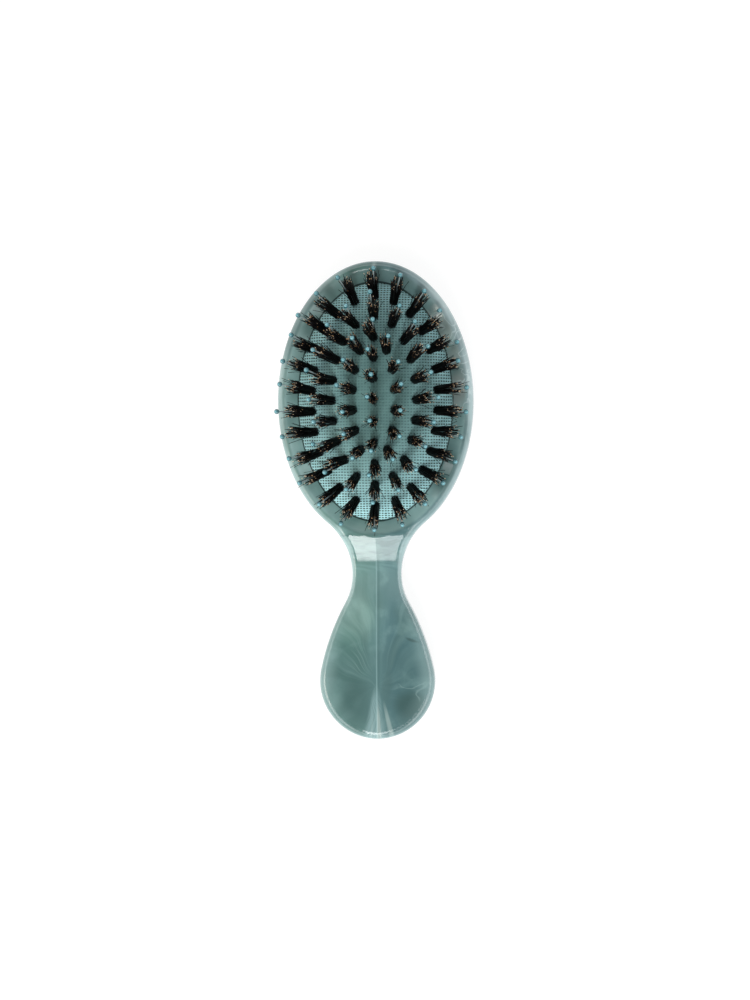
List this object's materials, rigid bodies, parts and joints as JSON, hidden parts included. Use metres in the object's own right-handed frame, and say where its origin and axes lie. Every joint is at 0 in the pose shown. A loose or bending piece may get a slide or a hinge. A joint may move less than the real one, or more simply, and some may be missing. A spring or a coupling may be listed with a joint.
{
  "type": "hairbrush",
  "caption": "Pocket hairbrush: dished oval head, domed air cushion faced with woven cloth, bristle tufts each with a ball-tipped quill, and a ridged, marbled handle.",
  "frame": {"origin": "on the flat back, under the middle of the brush's length and width", "axes": "+Z out of the bristles, +Y from the handle's end to the head's tip, +X to the right when the bristles face the viewer and the head is up"},
  "size_m": [0.0574, 0.14, 0.0369],
  "materials": {
    "marbled_plastic": "glossy, marbled teal",
    "rubber": "matt",
    "woven_cloth": "fine woven cloth",
    "bristle": "stiff dark bristle with pale tips",
    "nylon_quill": "glossy, slightly clear"
  },
  "bodies": {
    "handle": {"handle_body": "marbled_plastic", "rubber_cushion": "rubber", "cloth_facing": "woven_cloth"},
    "centre_row": {"bristle_tufts_centre_row": "bristle", "quills_centre_row": "nylon_quill"},
    "third_row": {"bristle_tufts_third_row": "bristle", "quills_third_row": "nylon_quill"},
    "second_row": {"bristle_tufts_second_row": "bristle", "quills_second_row": "nylon_quill"},
    "outer_row": {"bristle_tufts_outer_row": "bristle", "quills_outer_row": "nylon_quill"}
  },
  "joints": [
    {"name": "cushion_press", "type": "slide", "parent": "handle", "child": "centre_row", "axis": [0, 0, 1], "range_m": [-0.005, 0], "stiffness_N_per_m": 800, "deforming": ["rubber_cushion", "cloth_facing"]},
    {"name": "third_row_press", "type": "slide", "parent": "handle", "child": "third_row", "axis": [0, 0, 1], "range_m": [-0.00459, 0]},
    {"name": "second_row_press", "type": "slide", "parent": "handle", "child": "second_row", "axis": [0, 0, 1], "range_m": [-0.00352, 0]},
    {"name": "outer_row_press", "type": "slide", "parent": "handle", "child": "outer_row", "axis": [0, 0, 1], "range_m": [-0.0018, 0]}
  ],
  "couplings": [
    {"joint": "third_row_press", "follows": "cushion_press", "ratio": 0.917},
    {"joint": "second_row_press", "follows": "cushion_press", "ratio": 0.703},
    {"joint": "outer_row_press", "follows": "cushion_press", "ratio": 0.359}
  ]
}
